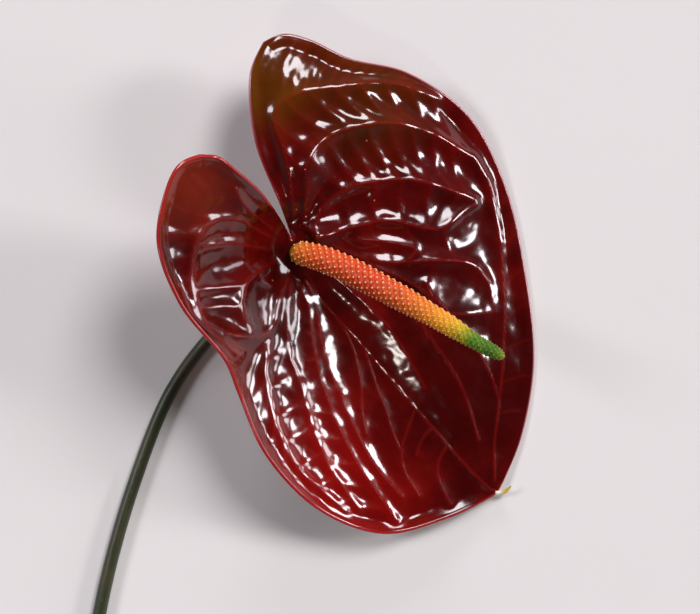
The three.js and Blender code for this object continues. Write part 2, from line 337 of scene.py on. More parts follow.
class Shades:
    """Adds nodes to a tree by kind, with their inputs set or linked by name or number."""

    def __init__(self, tree):
        self.tree = tree

    def add(self, kind, inputs=None, output=0, **settings):
        """Adds a node and returns one of its outputs."""
        node = self.tree.nodes.new(kind)
        for key, value in settings.items():
            setattr(node, key, value)
        for key, value in (inputs or {}).items():
            self.feed(node.inputs[key], value)
        return node.outputs[output]

    def feed(self, socket, value):
        """Links an output to the socket, or sets the socket to a plain value."""
        if isinstance(value, bpy.types.NodeSocket):
            self.tree.links.new(value, socket)
        elif isinstance(value, tuple) and len(value) == 3 and len(socket.default_value) == 4:
            socket.default_value = (*value, 1)
        else:
            socket.default_value = value

    def math(self, operation, first, second):
        """The result of one operation on two values or sockets."""
        return self.add("ShaderNodeMath", {0: first, 1: second}, operation=operation)

    def times(self, first, second):
        """The product of two values or sockets."""
        return self.math("MULTIPLY", first, second)

    def blend(self, factor, first, second, kind="MIX"):
        """The first colour moved towards the second one by a factor."""
        return self.add(
            "ShaderNodeMix", {0: factor, 6: first, 7: second}, 2, data_type="RGBA",
            blend_type=kind)

    def tint(self, colour, mask, strength, other, kind="MIX"):
        """The colour moved towards another one by a mask times a strength."""
        return self.blend(self.times(mask, strength), colour, other, kind)

    def spread(self, value, low, high, to_low=0.0, to_high=1.0):
        """A value eased from one range into another, and held at its ends."""
        return self.add(
            "ShaderNodeMapRange",
            {0: value, 1: low, 2: high, 3: to_low, 4: to_high}, interpolation_type="SMOOTHSTEP")

    def attribute(self, name, output="Fac"):
        """A value stored at the points of the mesh."""
        return self.add("ShaderNodeAttribute", output=output, attribute_name=name)

    def place(self):
        """The position on the object, in metres."""
        return self.add("ShaderNodeTexCoord", output="Object")

    def noise(self, vector, scale, detail=3.0, roughness=0.5):
        """Soft noise from 0 to 1."""
        return self.add(
            "ShaderNodeTexNoise",
            {"Vector": vector, "Scale": scale, "Detail": detail, "Roughness": roughness})

    def bump(self, height, distance, normal=None):
        """A surface normal tilted by a height, on top of an earlier one where it is given."""
        inputs = {"Strength": 1.0, "Distance": distance, "Height": height}
        if normal is not None:
            inputs["Normal"] = normal
        return self.add("ShaderNodeBump", inputs)

    def group(self, tree, inputs):
        """The first output of a node group."""
        return self.add("ShaderNodeGroup", node_tree=tree, inputs=inputs)


def new_material(name, **constants):
    """A material with one Principled shader. Constants are set on the shader's own sockets."""
    material = bpy.data.materials.new(name)
    material.use_nodes = True
    material.node_tree.nodes.clear()
    shades = Shades(material.node_tree)
    shader = material.node_tree.nodes.new("ShaderNodeBsdfPrincipled")
    for key, value in constants.items():
        shades.feed(shader.inputs[key.replace("_", " ").title().replace("Ior", "IOR")], value)
    surface = material.node_tree.nodes.new("ShaderNodeOutputMaterial")
    material.node_tree.links.new(shader.outputs[0], surface.inputs[0])
    return material, shades, shader


def new_group(name, inputs, output):
    """An empty shader node group with an output of one value, its inputs and its output node."""
    tree = bpy.data.node_groups.new(name, "ShaderNodeTree")
    for label, kind in inputs.items():
        tree.interface.new_socket(label, in_out="INPUT", socket_type="NodeSocket" + kind)
    tree.interface.new_socket(output, in_out="OUTPUT", socket_type="NodeSocketFloat")
    entry = tree.nodes.new("NodeGroupInput")
    return Shades(tree), entry.outputs, tree.nodes.new("NodeGroupOutput")


def patch_mask_group():
    """A soft round patch around a centre, with a ragged edge."""
    shades, given, result = new_group(
        "blush_patch",
        {"Place": "Vector", "Centre": "Vector", "Reach": "Float", "Ragged": "Float"}, "Mask")
    away = shades.add(
        "ShaderNodeVectorMath", {0: given["Place"], 1: given["Centre"]}, 1, operation="DISTANCE")
    ragged = shades.times(shades.noise(given["Place"], 45.0), given["Ragged"])
    near = shades.math("ADD", shades.math("DIVIDE", away, given["Reach"]), ragged)
    shades.feed(result.inputs[0], shades.spread(near, 0.3, 1.15, 1.0, 0.0))
    return shades.tree


def crinkle_group():
    """Fine skin relief: broad ripples, small wrinkles and pores, as one height."""
    shades, given, result = new_group(
        "skin_crinkle", {"Place": "Vector", "Ripple": "Float", "Grain": "Float"}, "Height")
    ripple = shades.times(shades.noise(given["Place"], 260.0, 4.0, 0.55), given["Ripple"])
    grain = shades.times(shades.noise(given["Place"], 1700.0, 2.0), given["Grain"])
    shades.feed(result.inputs[0], shades.math("ADD", ripple, grain))
    return shades.tree


# ---------------------------------------------------------------- spathe


# The blade's grid: rows along the sinus and the midrib, columns from the inner edge to the rim.
SINUS_ROWS = 120
MIDRIB_ROWS = 205
MIDDLE_COLUMNS = 84
EDGE_STEPS = (0, 0.12, 0.32, 0.6, 0.95, 1.4, 2.0)  # millimetres in from either edge
FULL_EDGE_SPAN = 14  # rows shorter than this have narrower edge steps
BACK_STRIDE = 2  # the back keeps every second column


def span_shares(lengths):
    """Shares across each row, closer together at both ends, where the rim is rounded."""
    edge = np.array(EDGE_STEPS)
    scale = np.minimum(1, lengths / FULL_EDGE_SPAN)[:, None]
    near = edge[None, :] * scale / np.maximum(lengths, 1e-6)[:, None]
    inner = np.linspace(0, 1, MIDDLE_COLUMNS + 2)[1:-1]
    middle = near[:, -1:] + (1 - 2 * near[:, -1:]) * inner[None, :]
    return np.hstack([near, middle, 1 - near[:, ::-1]])


def half_surface(sinus, rim, notch_share, belly):
    """One half of the blade as a grid of points in millimetres, from inner edge to rim."""
    to_notch = np.linspace(0, 1, SINUS_ROWS, endpoint=False)
    to_tip = np.linspace(0, 1, MIDRIB_ROWS + 1)
    inner = np.vstack([curve_points(sinus, 1 - to_notch), curve_points(MIDRIB, to_tip)])
    rim_shares = np.concatenate([notch_share * to_notch, notch_share + (1 - notch_share) * to_tip])
    outer = curve_points(rim, rim_shares)
    span = outer - inner
    lengths = np.linalg.norm(span, axis=1)
    direction = unit(span)
    raised = unit(np.array([0, 0, 1.0]) - direction * direction[:, 2:3])
    shares = span_shares(lengths)[:, :, None]
    grid = inner[:, None] + span[:, None] * shares
    grid = grid + raised[:, None] * 4 * shares * (1 - shares) * belly * lengths[:, None, None]
    radius = np.hypot(grid[..., 0], grid[..., 1])
    grid[..., 2] *= smoothstep(radius, SEAT_RADIUS, SEAT_RADIUS + SEAT_BLEND)
    return grid


def both_halves():
    """The right and the left half of the plain blade."""
    right = half_surface(RIGHT_SINUS, RIGHT_RIM, RIGHT_NOTCH_SHARE, RIGHT_BELLY)
    left = half_surface(LEFT_SINUS, LEFT_RIM, LEFT_NOTCH_SHARE, LEFT_BELLY)
    return right, left


def grid_normals(grid):
    """Upward normals of a grid, with the collapsed first and last rows taken from the next."""
    normals = np.cross(np.gradient(grid, axis=0), np.gradient(grid, axis=1))
    normals = unit(normals)
    normals *= np.where(normals[..., 2:3] < 0, -1, 1)
    normals[0] = unit(normals[1].mean(axis=0))
    normals[-1] = unit(normals[-2].mean(axis=0))
    return normals


def tree_of(curves):
    """A search tree of the points of several curves."""
    points = np.vstack(curves)
    tree = KDTree(len(points))
    for number, point in enumerate(points):
        tree.insert(point, number)
    tree.balance()
    return tree


def distances(tree, points):
    """Distance from each point of an array to the nearest point of a search tree."""
    return np.array([tree.find(point)[2] for point in points.reshape(-1, 3)]).reshape(
        points.shape[:-1])


def flat_curve(points):
    """A plan curve, sampled evenly, through points that may carry a lift."""
    plan = [(point[0], point[1], 0) for point in points]
    count = max(2, int(curve_length(plan) * PLAN_SAMPLES))
    return curve_points(plan, np.linspace(0, 1, count))


def curve_at(curve, start, end, share):
    """The sampled point at a share of the stretch of a curve from start to end."""
    return curve[int((start + (end - start) * share) * (len(curve) - 1))]


def vein_curves():
    """The main veins and the cross veins as two lists of plan curves."""
    named = {name: flat_curve(points) for name, points in VEINS.items()}
    mains = list(named.values()) + [flat_curve(MIDRIB)]
    named["right_rim"] = flat_curve(RIGHT_RIM)
    named["left_rim"] = flat_curve(LEFT_RIM)
    rungs = []
    for (first, first_from, first_to), (second, second_from, second_to), count in LADDERS:
        for share in np.linspace(0, 1, count):
            start = curve_at(named[first], first_from, first_to, share)
            end = curve_at(named[second], second_from, second_to, share)
            sway = np.array([start[1] - end[1], end[0] - start[0], 0]) * RUNG_SWAY
            rungs.append(flat_curve([start, (start + end) / 2 + sway, end]))
    return mains, rungs


# Square grid under the blade, in millimetres, on which the film between the veins is worked out.
FILM_LOW = (-72.0, -66.0)
FILM_HIGH = (128.0, 90.0)
FILM_CELL = 0.5
FILM_ROUNDS = 700
FILM_HOLD = 0.75  # half width of a vein's crest
FILM_GRIP = 6  # how firmly a vein holds the film against its neighbours


def film_places():
    """Plan points of the square grid on which the sagging films are worked out."""
    x = np.arange(FILM_LOW[0], FILM_HIGH[0], FILM_CELL)
    y = np.arange(FILM_LOW[1], FILM_HIGH[1], FILM_CELL)
    grid = np.zeros((len(x), len(y), 3))
    grid[..., 0] = x[:, None]
    grid[..., 1] = y[None, :]
    return grid


def sagging_film(distance, reach):
    """Sag from 0 to 1 of a film hung from the veins; beyond `reach` from them it runs level."""
    square = (FILM_CELL / reach) ** 2
    hold = ridge(distance, FILM_GRIP, FILM_HOLD)
    film = np.zeros_like(distance)
    for _ in range(FILM_ROUNDS):
        around = np.zeros_like(film)
        around[1:-1, 1:-1] = film[2:, 1:-1] + film[:-2, 1:-1] + film[1:-1, 2:] + film[1:-1, :-2]
        film = (around + square) / (4 + hold + square)
    return film


def film_at(film, points):
    """Values of a film at plan points, read between the grid's own points."""
    x = (points[..., 0] - FILM_LOW[0]) / FILM_CELL
    y = (points[..., 1] - FILM_LOW[1]) / FILM_CELL
    column, row = np.floor(x).astype(int), np.floor(y).astype(int)
    u, v = x - column, y - row
    left = film[column, row] * (1 - v) + film[column, row + 1] * v
    right = film[column + 1, row] * (1 - v) + film[column + 1, row + 1] * v
    return left * (1 - u) + right * u


def swell(points, size, seed):
    """Smooth variation from -1 to 1 over the blade, one value for each point."""
    flat = points.reshape(-1, 3) / size
    shift = Vector((seed, seed * 2.3, 0))
    values = [noise.noise(Vector((p[0], p[1], 0)) + shift) for p in flat]
    return np.array(values).reshape(points.shape[:-1])


# Quieter parts of the relief: centre as (along, across), reach in millimetres, share of the depth.
QUIET_PLACES = (
    ((80, 15), 34, 0.35), ((55, 10), 24, 0.4), ((100, 0), 26, 0.45), ((35, -18), 20, 0.3),
    ((60, -26), 22, 0.5), ((-36, -14), 12, 0.2), ((-52, 32), 14, 0.4), ((-12, -4), 13, 0.3),
    ((58, 56), 15, 0.25), ((80, 36), 18, 0.15), ((96, 20), 18, 0.2), ((48, -38), 22, 0.6),
    ((86, -34), 16, 0.5), ((78, -20), 22, 0.8),
)
# Where cross veins stand out more than elsewhere, in the same form.
RUNG_PLACES = (
    ((45, -43), 26, 2.3), ((80, -44), 20, 2.0), ((-33, 50), 18, 2.0), ((-3, 38), 18, 1.6),
)
# Soft mounds and hollows that no vein shapes: centre, reach and height in millimetres. They and
# the two tables above were set to bring highlights to their places as seen from above.
MOUNDS = (
    ((2.5, 9.5), 6, 6.5), ((-19, 22), 7, 3.4), ((27, 18), 6, 1.6), ((2, -22), 10, 2.0),
    ((101, 8), 9, -1.8), ((88, 20), 12, -2.8), ((72, 36), 12, -3.0), ((55, 50), 12, -2.8),
    ((38, 60), 10, -1.6),
)


def bell(distance, width):
    """Bell curve of height 1."""
    return np.exp(-(distance / width) ** 2)


def ridge(distance, height, width):
    """Height of a ridge at a distance from its line."""
    return height * bell(distance, width)


def falloff(plan, centre, reach):
    """Round bump of height 1 at plan points, fading out around a centre."""
    return bell(np.hypot(plan[..., 0] - centre[0], plan[..., 1] - centre[1]), reach)


def depth_share(plan, places):
    """Share of the full relief depth at plan points, from places of their own share."""
    share = np.ones(plan.shape[:-1])
    for centre, reach, local in places:
        share *= 1 - (1 - local) * falloff(plan, centre, reach)
    return share


# Relief of the blade, lengths in millimetres. A fade is where something begins and is complete.
EDGE_SAMPLES = 1600
RIM_ROUNDING = 1.3  # reach of the rounded rim, in half thicknesses
BEAD_PLACE = 0.9  # from the rim to the top of its bead
BEAD_WIDTH = 0.6
BACK_BEAD = 0.6  # the bead's height on the back, as a share of that on the face
EDGE_FADE = (1.0, 6.0)
SEAT_FADE = (5.0, 13.0)
MOUND_FADE = (5.5, 9.0)
DEPTH_SWELL = (17.0, 3.0)  # size and seed
WAVE_SWELL = (9.0, 8.0)
WRINKLE_SWELL = (3.4, 5.0)
DEPTH_CHANGE = 0.4
WAVE_HEIGHT = 0.35
RIB_WIDTH = 1.5
RIB_FADE = (0, 115)  # along the midrib
RIB_LOSS = 0.7  # share of its height that the midrib loses towards the tip
BACK_VEIN_RIDGE = (0.35, 0.8)  # height and width of a ridge on the back
BACK_RUNG_RIDGE = (0.12, 0.6)
VEIN_WIDTH = 0.55  # of the coloured line along a vein
RUNG_WIDTH = 0.5
RUNG_FADE = (1, 4)
RIM_WIDTH = (0.3, 1.2)  # where the coloured rim starts to fade and ends
DEEPEST_HOLLOW = 3


def blade_grids(settings):
    """Both halves as arrays of front points, back points and vertex values, in millimetres."""
    mains, rungs = vein_curves()
    main_tree = tree_of(mains)
    rung_tree = tree_of(rungs)
    midrib_tree = tree_of([flat_curve(MIDRIB)])
    edges = [RIGHT_SINUS, RIGHT_RIM, LEFT_SINUS, LEFT_RIM]
    edge_tree = tree_of([curve_points(edge, np.linspace(0, 1, EDGE_SAMPLES)) for edge in edges])
    right, left = both_halves()
    right_normals, left_normals = grid_normals(right), grid_normals(left)
    shared = unit(right_normals[SINUS_ROWS:, 0] + left_normals[SINUS_ROWS:, 0])
    shared[-1] = (0, 0, 1)
    right_normals[SINUS_ROWS:, 0] = left_normals[SINUS_ROWS:, 0] = shared
    right_normals[-1] = left_normals[-1] = shared[-1]
    places = film_places()
    cell_film = sagging_film(distances(main_tree, places), settings.cell_reach / MM)
    every_distance = np.minimum(distances(main_tree, places), distances(rung_tree, places))
    rung_film = sagging_film(every_distance, settings.rung_reach / MM)
    halves = []
    for grid, normals in ((right, right_normals), (left, left_normals)):
        plan = grid * (1, 1, 0)
        to_main = distances(main_tree, plan)
        to_rung = distances(rung_tree, plan)
        to_midrib = distances(midrib_tree, plan)
        to_edge = distances(edge_tree, grid)
        to_edge[:, -1] = 0
        to_edge[:SINUS_ROWS + 1, 0] = 0
        to_edge[0] = to_edge[-1] = 0
        radius = np.hypot(grid[..., 0], grid[..., 1])
        half = settings.thickness / MM / 2
        rounding = np.sqrt(1 - (1 - np.clip(to_edge / (RIM_ROUNDING * half), 0, 1)) ** 2)
        bead = ridge(to_edge - BEAD_PLACE, settings.rim_bead / MM, BEAD_WIDTH) * rounding
        inside = smoothstep(to_edge, *EDGE_FADE)
        clear_of_seat = smoothstep(radius, *SEAT_FADE)
        fade = inside * clear_of_seat
        strength = (1 + DEPTH_CHANGE * swell(plan, *DEPTH_SWELL)) * depth_share(plan, QUIET_PLACES)
        mounds = sum(height * falloff(plan, centre, reach) for centre, reach, height in MOUNDS)
        mounds *= smoothstep(radius, *MOUND_FADE)
        cells = film_at(cell_film, plan) * settings.cell_depth / MM
        dips = film_at(rung_film, plan) * settings.rung_depth / MM
        dips *= depth_share(plan, RUNG_PLACES)
        waves = WAVE_HEIGHT * swell(plan, *WAVE_SWELL)
        waves = waves + settings.wrinkle / MM * swell(plan, *WRINKLE_SWELL)
        relief = fade * (waves - strength * (cells + dips)) + inside * mounds
        front = relief + half * (rounding - 1) + bead
        narrowing = 1 - RIB_LOSS * smoothstep(grid[..., 0], *RIB_FADE)
        rib = ridge(to_midrib, settings.rib_height / MM, RIB_WIDTH) * narrowing
        ridges = ridge(to_main, *BACK_VEIN_RIDGE) + ridge(to_rung, *BACK_RUNG_RIDGE)
        back = relief - half * (1 + rounding) - bead * BACK_BEAD - fade * (rib + ridges)
        values = {
            "vein": bell(to_main, VEIN_WIDTH) * clear_of_seat,
            "rung": bell(to_rung, RUNG_WIDTH) * smoothstep(to_edge, *RUNG_FADE),
            # depth of the dished cells, which sets the painted shade in them
            "hollow": np.clip(cells + dips, 0, DEEPEST_HOLLOW) * fade,
            "rim": 1 - smoothstep(to_edge, *RIM_WIDTH),
        }
        halves.append((grid, normals, front, back, values))
    return halves


def grid_faces(row_count, column_count, start):
    """Quads between the neighbours of a grid whose first point has the number `start`."""
    row, column = np.meshgrid(
        np.arange(row_count - 1), np.arange(column_count - 1), indexing="ij")
    here = start + row * column_count + column
    quads = np.stack([here, here + 1, here + column_count + 1, here + column_count], axis=-1)
    return quads.reshape(-1, 4).tolist()


def turned(points):
    """Spathe axes to row axes, both around the attachment."""
    cosine, sine = math.cos(SPATHE_TURN), math.sin(SPATHE_TURN)
    x = points[..., 0] * cosine - points[..., 1] * sine
    y = points[..., 0] * sine + points[..., 1] * cosine
    return np.stack([x, y, points[..., 2]], axis=-1)


def attachment():
    """Where stem, spathe and spadix meet, in metres: the solid spathe's box less the drawn one."""
    low, high = (np.array(corner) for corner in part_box("spathe"))
    every = np.vstack([turned(half).reshape(-1, 3) for half in both_halves()]) * MM
    middle = (low + high - every.min(0) - every.max(0)) / 2
    middle[2] = high[2] - every[:, 2].max()
    return middle


ATTACHMENT = attachment()


# Blushes of the face, and patches of painted shade on the right half and of painted light on the
# lower left half: centre on the leaf and reach in metres, setting, strength.
BLUSHES_AND_PAINTED_LIGHT = (
    ((0.085, 0.025, -0.01), 0.055, "deep_and_shade", 0.85), ((0.03, 0.045, -0.01), 0.04, "deep_and_shade", 0.45),
    ((0.065, -0.05, 0.0), 0.05, "bright", 0.75), ((0.1, -0.035, 0.0), 0.035, "bright", 0.6),
    ((-0.052, 0.03, 0.012), 0.026, "olive", 0.9), ((-0.03, 0.055, 0.0), 0.04, "olive", 0.4),
    ((-0.038, -0.014, 0.04), 0.024, "ember", 0.9), ((0.025, -0.045, 0.03), 0.024, "ember", 0.6),
)
# The lacquer is made weaker on the steep wall of the left lobe beside the attachment, so that it
# mirrors less of the pale floor. This suits the stage below and is no trait of the plant.
THIN_LACQUER = {"Centre": (-0.006, -0.015, 0.01), "Reach": 0.024, "Ragged": 0.2}
THIN_LACQUER_WEIGHT = 0.45
RIM_LIGHT = tone(0xD8A4AC)  # painted on the right rim, in place of light that it would catch
BACK_VEIN = tone(0xA6603A)
SPECK = tone(0xD8A070)


def spathe_material(settings):
    """Lacquered dark red face with blushes, veins, painted shade in the hollows and on the right
    half, painted light on the lower left half and a red rim with a painted highlight on its
    right-hand side, and a duller back.
    """
    material, shades, shader = new_material(
        "spathe_lacquer", coat_weight=1.0, coat_roughness=0.12, coat_ior=1.5, ior=1.45,
        specular_ior_level=0.04)
    place = shades.place()
    leaf = shades.attribute("leaf", "Vector")
    patch_mask = patch_mask_group()
    blotch = shades.noise(leaf, 60.0, 4.0, 0.6)
    colour = shades.blend(shades.spread(blotch, 0.35, 0.7), settings.wine[:], settings.deep_and_shade[:])
    # Each patch tints the face, whether it is a blush, painted shade or painted light.
    for centre, reach, patch, strength in BLUSHES_AND_PAINTED_LIGHT:
        mask = shades.group(
            patch_mask, {"Place": leaf, "Centre": centre, "Reach": reach, "Ragged": 0.35})
        colour = shades.tint(colour, mask, strength, getattr(settings, patch)[:])
    # Painted shade: the face is darkened towards the darkest colour in the dished cells, more
    # where they are deeper.
    hollow = shades.spread(shades.attribute("hollow"), 0.3, 2.2)
    colour = shades.tint(colour, hollow, 0.35, settings.deep_and_shade[:])
    vein = shades.attribute("vein")
    rung = shades.attribute("rung")
    colour = shades.tint(colour, vein, 0.38, settings.vein[:])
    colour = shades.tint(colour, rung, 0.15, settings.vein[:])
    rim = shades.attribute("rim")
    colour = shades.tint(colour, rim, 0.8, settings.rim[:])
    # Painted highlight: the right-hand rim is turned pale pink, standing in for light that it
    # catches.
    across = shades.add("ShaderNodeSeparateXYZ", {0: leaf}, 1)
    right_rim = shades.times(rim, shades.spread(across, 0.008, 0.03, 0.0, 0.75))
    colour = shades.blend(right_rim, colour, RIM_LIGHT)
    back_noise = shades.noise(leaf, 90.0, 3.0)
    dull = shades.blend(shades.spread(back_noise, 0.3, 0.8), settings.back[:], settings.ember[:])
    dull = shades.tint(dull, vein, 0.5, BACK_VEIN)
    face = shades.attribute("face")
    colour = shades.blend(face, dull, colour)
    specks = shades.add("ShaderNodeTexVoronoi", {"Vector": leaf, "Scale": 70.0})
    speck = shades.spread(specks, 0.012, 0.03, 1.0, 0.0)
    colour = shades.tint(colour, speck, 0.5, SPECK)
    shades.feed(shader.inputs["Base Color"], colour)
    smear = shades.noise(leaf, 130.0, 4.0, 0.6)
    rough = shades.spread(smear, 0.3, 0.75, 0.16, 0.3)
    rough = shades.add("ShaderNodeMix", {0: face, 2: 0.5, 3: rough}, data_type="FLOAT")
    shades.feed(shader.inputs["Roughness"], rough)
    crinkle = shades.group(crinkle_group(), {"Place": place, "Ripple": 1.0, "Grain": 0.12})
    veins = shades.math("ADD", shades.times(vein, 1.1), shades.times(rung, 0.4))
    skin = shades.bump(crinkle, 0.22 * MM)
    skin = shades.bump(veins, 0.18 * MM, skin)
    shades.feed(shader.inputs["Normal"], skin)
    thinner = shades.group(patch_mask, {"Place": leaf, **THIN_LACQUER})
    coat = shades.spread(thinner, 0.0, 1.0, 1.0, THIN_LACQUER_WEIGHT)
    shades.feed(shader.inputs["Coat Weight"], coat)
    return material


class AnthuriumMakeSpathe(bpy.types.Operator):
    """Make the heart-shaped spathe with its veins, dished cells and rounded rim"""

    bl_idname = "anthurium.make_spathe"
    bl_label = "Spathe"

    def execute(self, context):
        settings = context.scene.anthurium_spathe
        points, faces = [], []
        values = {key: [] for key in ("vein", "rung", "hollow", "rim", "face")}
        leaf = []
        start = 0
        for grid, normals, front, back, fields in blade_grids(settings):
            columns = np.arange(grid.shape[1])
            edge = len(EDGE_STEPS)
            kept = (columns < edge) | (columns >= len(columns) - edge)
            back_columns = columns[kept | (columns % BACK_STRIDE == 0)]
            for offset, chosen, face in ((front, columns, 1.0), (back, back_columns, 0.0)):
                side = (grid + normals * offset[..., None])[:, chosen]
                points.append(side.reshape(-1, 3))
                leaf.append(grid[:, chosen].reshape(-1, 3))
                faces += grid_faces(side.shape[0], side.shape[1], start)
                start += side.shape[0] * side.shape[1]
                for key, field in fields.items():
                    values[key].append(field[:, chosen].ravel())
                values["face"].append(np.full(side.shape[0] * side.shape[1], face))
        placed = turned(np.vstack(points)) * MM + ATTACHMENT
        placed[:, 2] = np.maximum(placed[:, 2], 0)
        attributes = {key: np.concatenate(field) for key, field in values.items()}
        attributes["leaf"] = np.vstack(leaf) * MM
        piece = new_piece("spathe_blade", placed, faces, attributes)
        piece.data.materials.append(spathe_material(settings))
        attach(piece, BODY)
        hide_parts("spathe")
        return {"FINISHED"}


TIP_ROUTE = [
    (115.6, -1.6, -17.4), (116.8, -0.4, -17.3), (117.6, 1.4, -16.8), (117.4, 4.4, -15.8),
]
TIP_RINGS = 15
TIP_SIDES = 12
TIP_RADIUS = 1.0
TIP_POINT_RADIUS = 0.06
TIP_PALE = tone(0xE8E4D0)
TIP_YELLOW = tone(0xC9A92E)
TIP_BROWN = tone(0x7A5A1C)


def tip_material():
    """Pale dry tissue that turns yellow and then brown towards the point."""
    material, shades, shader = new_material("dry_tip_horn", roughness=0.45, coat_weight=0.2)
    along = shades.attribute("share")
    colour = shades.blend(shades.spread(along, 0.15, 0.55), TIP_PALE, TIP_YELLOW)
    colour = shades.blend(shades.spread(along, 0.8, 1.0), colour, TIP_BROWN)
    shades.feed(shader.inputs["Base Color"], colour)
    shades.feed(
        shader.inputs["Normal"], shades.bump(shades.noise(shades.place(), 2200.0), 0.2 * MM))
    return material


class AnthuriumMakeTip(bpy.types.Operator):
    """Make the tiny dry point at the tip of the spathe"""

    bl_idname = "anthurium.make_tip"
    bl_label = "Dry tip"

    def execute(self, context):
        shares = np.linspace(0, 1, TIP_RINGS)
        radii = TIP_RADIUS * (1 - shares) ** 0.6 + TIP_POINT_RADIUS
        path = turned(curve_points(TIP_ROUTE, shares))
        points, faces, along = tube(path, radii, TIP_SIDES)
        placed = points * MM + ATTACHMENT
        piece = new_piece("spathe_dry_tip", placed, faces, {"share": along})
        piece.data.materials.append(tip_material())
        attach(piece, BODY)
        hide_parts("spathe")
        return {"FINISHED"}


# ---------------------------------------------------------------- spadix


# Radius at a share of the length, as a share of the greatest radius.
SPADIX_PROFILE = [
    (0, 0.8), (0.05, 0.88), (0.15, 0.94), (0.33, 0.98), (0.5, 0.92), (0.7, 0.75), (0.9, 0.53),
    (1, 0.4),
]
# Colour of the flesh at a share of the length, from the seat to the green end.
SPADIX_COLOURS = (
    (0.0, 0x3C5210), (0.03, 0x8A7C18), (0.055, 0xF28A28), (0.14, 0xF0601E), (0.4, 0xE44A20),
    (0.56, 0xEE6C1A), (0.67, 0xFA9A10), (0.75, 0xFCBC08), (0.81, 0xC8B808), (0.86, 0x5C9404),
    (0.95, 0x427C02), (1.0, 0x70900E),
)
SPADIX_END = 1.9  # length of the rounded end in end radii
SPADIX_RINGS = 140
SPADIX_SIDES = 40
PATH_POINTS = 200  # points on the path that carries the flowers
LEAST_RADIUS = 0.05 * MM
FIRST_FLOWER = 0.035  # share of the length below the first flower
LAST_FLOWER = 0.995
LOOK_AHEAD = 0.004  # share of the length over which the flowers' lean is taken
STEEPEST = 3.0  # limit on that lean
FLOWER_SCALES = (0.86, 1.1)
FULL_FLOWER_RADIUS = 4.7 * MM  # flowers have their full size at this radius of the spadix
LEAST_FLOWER = 0.45
FLESH_SHADOW = tone(0x9C2C12)
VALLEY_SHADOW = tone(0xA04018)
GOLDEN_TURN = math.pi * (3 - math.sqrt(5))


def spadix_path(settings, shares):
    """Centre line in metres and radius at each share of the spadix."""
    drawn = np.array(SPADIX_ROUTE, float)
    drawn *= settings.length / MM / curve_length(drawn)
    path = curve_points(drawn + (0, 0, SEAT_CLEARANCE), shares) * MM + ATTACHMENT
    radii = np.zeros(len(shares))
    for (low, start), (high, end) in zip(SPADIX_PROFILE, SPADIX_PROFILE[1:]):
        within = (shares >= low) & (shares <= high)
        radii[within] = start + (end - start) * smoothstep(shares[within], low, high)
    radii *= settings.diameter / 2
    from_end = np.minimum(1, (1 - shares) * settings.length / (radii[-1] * SPADIX_END))
    return path, radii * np.sqrt(np.maximum(0, 1 - (1 - from_end) ** 2))


def spadix_material(settings, name, beaded):
    """Flesh that shades from orange to green, with pale beads where `beaded` is true."""
    material, shades, shader = new_material(
        name, coat_weight=0.22, coat_roughness=0.3, subsurface_weight=0.12,
        subsurface_scale=0.0015, ior=1.45, specular_ior_level=0.25)
    ramp = shades.tree.nodes.new("ShaderNodeValToRGB")
    share = shades.attribute("share")
    mottle = shades.noise(shades.place(), 420.0, 3.0)
    wander = shades.times(shades.math("SUBTRACT", mottle, 0.5), 0.04)
    shades.feed(ramp.inputs[0], shades.math("ADD", share, wander))
    stops = ramp.color_ramp.elements
    for number, (position, code) in enumerate(SPADIX_COLOURS):
        stop = stops[number] if number < 2 else stops.new(position)
        stop.position = position
        stop.color = (*tone(code), 1)
    colour = ramp.outputs[0]
    shadow = shades.spread(mottle, 0.35, 0.75, 0.0, 0.35)
    colour = shades.blend(shadow, colour, FLESH_SHADOW, "MULTIPLY")
    if beaded:
        bead = shades.attribute("bead")
        fading = shades.spread(share, 0.68, 0.86, 0.8, 0.15)
        colour = shades.tint(colour, bead, fading, settings.bead[:])
        valley = shades.attribute("valley")
        colour = shades.tint(colour, valley, 0.55, VALLEY_SHADOW, "MULTIPLY")
    shades.feed(shader.inputs["Base Color"], colour)
    shades.feed(shader.inputs["Roughness"], shades.spread(mottle, 0.2, 0.8, 0.28, 0.45))
    grain = shades.noise(shades.place(), 2600.0, 2.0)
    shades.feed(shader.inputs["Normal"], shades.bump(grain, 0.1 * MM))
    return material


# Rings of a flower: radius and height as shares of its size, then bead and valley masks.
FLOWER_RINGS = (
    (0.0, 0.3, 1.0, 0.0), (0.1, 0.28, 1.0, 0.0), (0.17, 0.2, 1.0, 0.0), (0.18, 0.1, 0.6, 0.5),
    (0.24, 0.07, 0.0, 1.0), (0.38, 0.09, 0.0, 0.0), (0.5, 0.02, 0.0, 0.5),
    (0.53, -0.14, 0.0, 1.0), (0.0, -0.14, 0.0, 1.0),
)
FLOWER_SIDES = 8
LOBE_START = 0.3  # rings wider than this have four lobes
LOBE_DEPTH = 0.14


def flower_mould(size):
    """One small flower: four blunt lobes around a bead, with its axis along Z."""
    points, bead, valley = [], [], []
    for reach, height, is_bead, is_valley in FLOWER_RINGS:
        for side in range(FLOWER_SIDES):
            angle = 2 * math.pi * side / FLOWER_SIDES
            square = 1 + LOBE_DEPTH * math.cos(4 * angle) * (reach > LOBE_START)
            points.append((
                size * reach * square * math.cos(angle), size * reach * square * math.sin(angle),
                size * height))
            bead.append(is_bead)
            valley.append(is_valley)
    faces = grid_faces(len(FLOWER_RINGS), FLOWER_SIDES, 0)
    for first in range(0, (len(FLOWER_RINGS) - 1) * FLOWER_SIDES, FLOWER_SIDES):
        last = first + FLOWER_SIDES - 1
        faces.append((last, first, last + 1, last + FLOWER_SIDES))
    return new_piece("flower_mould", points, faces, {"bead": bead, "valley": valley})


